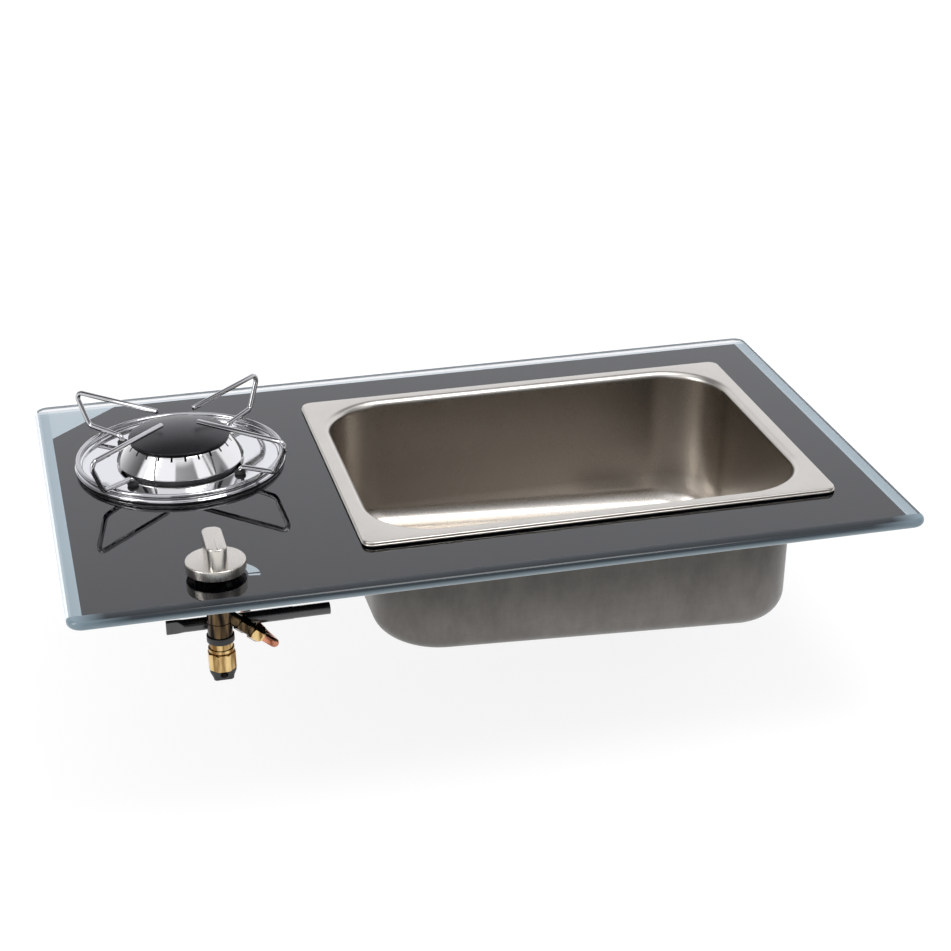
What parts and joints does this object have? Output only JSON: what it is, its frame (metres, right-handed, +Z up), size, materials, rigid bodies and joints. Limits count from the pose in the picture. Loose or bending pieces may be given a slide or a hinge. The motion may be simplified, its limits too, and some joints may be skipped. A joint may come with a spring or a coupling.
{
  "type": "hob and sink combination",
  "caption": "Drop-in glass plate with a pressed steel sink bowl, a gas burner with wire pan support, and a turn and push gas tap.",
  "frame": {"origin": "middle of the glass plate, on the underside of the glass, where it lies on the worktop", "axes": "+X right along the long side, +Y to the back, +Z up"},
  "size_m": [0.56, 0.35, 0.1935],
  "materials": {
    "glass": "clear, polished pencil edge",
    "black_print": "fired black enamel",
    "bowl_steel": "fine satin",
    "gasket": "matt",
    "zinc_steel": "zinc plated",
    "chrome": "bright",
    "black_plastic": "moulded",
    "cast_aluminium": "cast",
    "polished_aluminium": "polished",
    "black_enamel": "satin enamel on steel",
    "brass": "machined",
    "copper": "drawn copper tube",
    "satin_nickel": "satin nickel",
    "spring_steel": "drawn wire",
    "fibre": "pressed fibre",
    "dark_brass": "black oxidised brass",
    "black_steel": "black painted steel tube"
  },
  "bodies": {
    "root": {"glass_plate": "glass", "enamel_print": "black_print", "sink_basin": "bowl_steel", "sink_gasket": "gasket", "bowl_clips": "zinc_steel", "clip_screws": "zinc_steel", "waste_flange": "chrome", "waste_seal": "gasket", "waste_body": "black_plastic", "waste_screw": "chrome", "drip_tray": "chrome", "tray_gasket": "gasket", "burner_cup": "cast_aluminium", "clamp_ring": "zinc_steel", "burner_screws": "zinc_steel", "injector": "brass", "pipe_nut": "brass", "gas_pipe": "copper", "neck_nut": "brass", "neck_washer": "fibre", "tap_cover": "dark_brass", "cover_screws": "zinc_steel", "tap_body": "dark_brass", "lock_ring": "black_plastic", "magnet_housing": "brass", "magnet_unit": "zinc_steel", "magnet_nut": "brass", "thermocouple_plug": "black_plastic", "thermocouple_lead": "copper", "thermocouple": "zinc_steel", "sensor_nut": "brass", "outlet_nut": "dark_brass", "pipe_gland": "brass", "gas_rail": "black_steel", "rail_saddle": "zinc_steel", "saddle_screws": "zinc_steel"},
    "pan_support": {"pan_support": "chrome", "support_feet": "gasket"},
    "burner_crown": {"burner_crown": "polished_aluminium"},
    "burner_cap": {"burner_cap": "black_enamel"},
    "tap_plug": {"tap_plug": "brass", "return_spring": "spring_steel"},
    "knob": {"knob": "satin_nickel", "spindle": "zinc_steel", "spindle_clip": "spring_steel"},
    "safety_valve": {"safety_valve": "zinc_steel"}
  },
  "joints": [
    {"name": "pan_support_lift", "type": "slide", "parent": "root", "child": "pan_support", "axis": [0, 0, 1], "range_m": [0, 0.06]},
    {"name": "crown_lift", "type": "slide", "parent": "root", "child": "burner_crown", "axis": [0, 0, 1], "range_m": [0, 0.003]},
    {"name": "cap_lift", "type": "slide", "parent": "burner_crown", "child": "burner_cap", "axis": [0, 0, 1], "range_m": [0, 0.003]},
    {"name": "knob_turn", "type": "hinge", "parent": "root", "child": "tap_plug", "pos_m": [-0.184, -0.131, 0], "axis": [0, 0, 1], "range_deg": [0, 160]},
    {"name": "knob_push", "type": "slide", "parent": "tap_plug", "child": "knob", "axis": [0, 0, -1], "range_m": [0, 0.003], "stiffness_N_per_m": 1200, "springref_m": -0.002, "deforming": ["return_spring"]},
    {"name": "safety_valve_lift", "type": "slide", "parent": "root", "child": "safety_valve", "axis": [0, 0, -1], "range_m": [0, 0.003]}
  ],
  "couplings": [
    {"joint": "safety_valve_lift", "follows": "knob_push", "ratio": 1}
  ]
}
